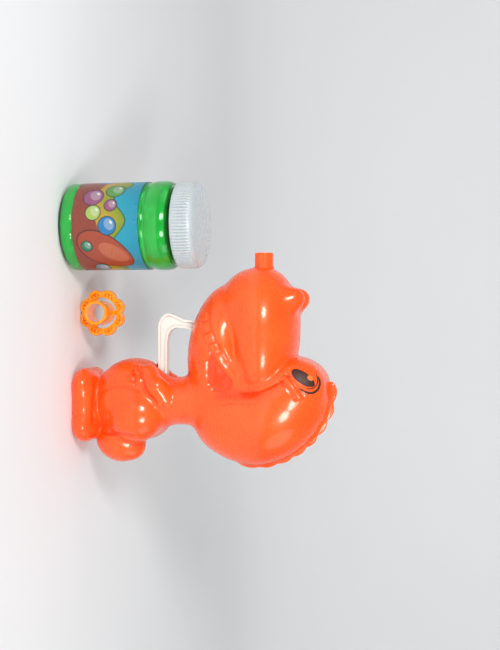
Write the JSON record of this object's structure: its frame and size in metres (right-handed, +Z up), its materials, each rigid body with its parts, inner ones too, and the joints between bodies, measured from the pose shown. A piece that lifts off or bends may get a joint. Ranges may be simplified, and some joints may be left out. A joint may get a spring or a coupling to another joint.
{
  "type": "toy bubble machine",
  "caption": "Hand-pumped toy bubble gun shaped like a standing dinosaur, with a dipping ring and a capped bottle of solution.",
  "frame": {"origin": "middle of the gun's flat sole, on the casing joint", "axes": "+Z up, -X along the muzzle, -Y the gun's left side, which the dipping ring's collar faces"},
  "size_m": [0.1503, 0.0623, 0.1388],
  "materials": {
    "casing": "glossy moulded polystyrene, fluorescent orange",
    "trigger_white": "semi-gloss moulded plastic, off-white",
    "inner_white": "plain moulded plastic",
    "gear_nylon": "natural nylon",
    "fan_plastic": "plain moulded plastic",
    "axle_steel": "ground wire",
    "spring_steel": "spring wire",
    "screw_steel": "zinc plated",
    "bush_brass": "turned brass",
    "ring": "semi-gloss moulded plastic, yellow-orange",
    "bottle_clear": "clear blown plastic",
    "solution": "green liquid",
    "label": null,
    "cap": "milky translucent polyethylene",
    "liner": "foamed polyethylene"
  },
  "bodies": {
    "gun": {"shell_left": "casing", "shell_right": "casing", "nozzle_tube": "casing", "shell_screws": "screw_steel", "air_duct": "inner_white", "trigger_pin": "axle_steel", "gear_plate_left": "inner_white", "gear_plate_right": "inner_white", "plate_posts": "inner_white", "gearbox_screws": "screw_steel", "gear_one_axle": "axle_steel", "gear_two_axle": "axle_steel", "fan_bush_left": "bush_brass", "fan_bush_right": "bush_brass", "fan_housing": "inner_white", "fan_cover": "inner_white", "fan_cover_screws": "screw_steel", "trigger_spring": "spring_steel"},
    "trigger": {"trigger": "trigger_white"},
    "gear_one": {"gear_one": "gear_nylon"},
    "gear_two": {"gear_two": "gear_nylon"},
    "fan": {"fan_pinion": "gear_nylon", "fan_axle": "axle_steel", "impeller": "fan_plastic"},
    "ring": {"bubble_ring": "ring"},
    "bottle": {"bottle": "bottle_clear", "solution": "solution", "bottle_label": "label"},
    "cap_seal": {"cap_liner": "liner"},
    "cap": {"cap": "cap"}
  },
  "joints": [
    {"name": "trigger_pull", "type": "hinge", "parent": "gun", "child": "trigger", "pos_m": [-0.039, 0, 0.095], "axis": [0, -1, 0], "range_deg": [0, 15], "stiffness_Nm_per_rad": 0.4, "springref_deg": -11.46, "deforming": ["trigger_spring"]},
    {"name": "gear_one_turn", "type": "hinge", "parent": "gun", "child": "gear_one", "pos_m": [-0.01194, 0, 0.08515], "axis": [0, -1, 0], "range_deg": [-75, 0]},
    {"name": "gear_two_turn", "type": "hinge", "parent": "gun", "child": "gear_two", "pos_m": [0.00691, 0, 0.09394], "axis": [0, -1, 0], "range_deg": [0, 250]},
    {"name": "fan_turn", "type": "hinge", "parent": "gun", "child": "fan", "pos_m": [-0.00779, 0, 0.10628], "axis": [0, -1, 0], "range_deg": [-750, 0]},
    {"name": "ring_pick_up", "type": "slide", "parent": "gun", "child": "ring", "axis": [0, -0.7071, 0.7071], "range_m": [0, 0.05]},
    {"name": "bottle_pick_up", "type": "slide", "parent": "gun", "child": "bottle", "axis": [0, -0.7071, 0.7071], "range_m": [0, 0.08]},
    {"name": "cap_rise", "type": "slide", "parent": "bottle", "child": "cap_seal", "axis": [0, 0, 1], "range_m": [0, 0.0045]},
    {"name": "cap_turn", "type": "hinge", "parent": "cap_seal", "child": "cap", "pos_m": [-0.0965, -0.014, 0.065], "axis": [0, 0, 1], "range_deg": [0, 540]}
  ],
  "couplings": [
    {"joint": "gear_one_turn", "follows": "trigger_pull", "ratio": -5},
    {"joint": "gear_two_turn", "follows": "trigger_pull", "ratio": 16.667},
    {"joint": "fan_turn", "follows": "trigger_pull", "ratio": -50},
    {"joint": "cap_rise", "follows": "cap_turn", "m_per_rad": 0.00047746}
  ]
}
